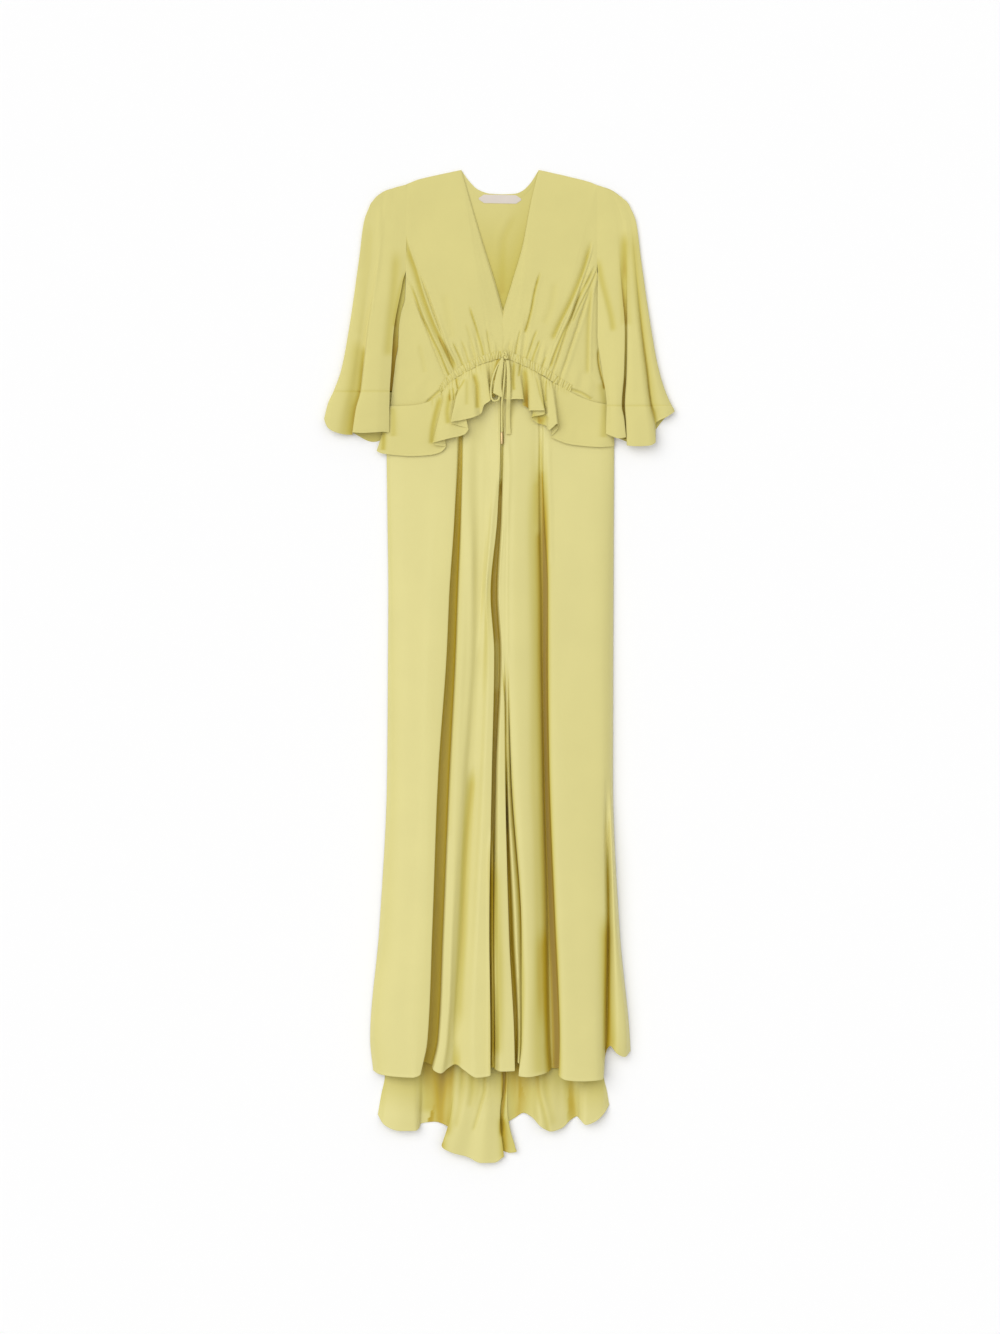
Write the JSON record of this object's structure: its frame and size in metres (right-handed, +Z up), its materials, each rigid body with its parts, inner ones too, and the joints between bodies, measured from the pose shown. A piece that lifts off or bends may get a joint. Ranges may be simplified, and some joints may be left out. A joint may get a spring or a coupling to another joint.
{
  "type": "v-neck maxi dress",
  "caption": "Long V-neck dress laid flat: short flutter sleeves, drawstring under the bust, gathered flounce and a full skirt whose back hem trails.",
  "frame": {"origin": "on the surface that the dress lies on, under the middle of its outline", "axes": "+Z up from the surface, +Y from the trailing hem towards the neck, +X towards the wearer's left sleeve, which is on the viewer's right"},
  "size_m": [0.579, 1.639, 0.0348],
  "materials": {
    "crepe": "matte crepe",
    "satin": "soft satin",
    "label": "woven, bare",
    "tip": "gold tone"
  },
  "bodies": {
    "root": {"bodice_back": "crepe", "bodice_front_left": "crepe", "bodice_front_right": "crepe", "casing_left": "crepe", "casing_right": "crepe", "sleeve_left": "crepe", "sleeve_right": "crepe", "cuff_left": "crepe", "cuff_right": "crepe", "flounce_left": "crepe", "flounce_right": "crepe", "skirt_front_left": "satin", "skirt_front_right": "satin", "skirt_back_left": "satin", "skirt_back_right": "satin", "label": "label", "drawstring_knot": "crepe", "drawstring_loop": "crepe", "drawstring_end_left": "crepe", "drawstring_end_right": "crepe", "drawstring_tip": "tip"}
  },
  "joints": []
}
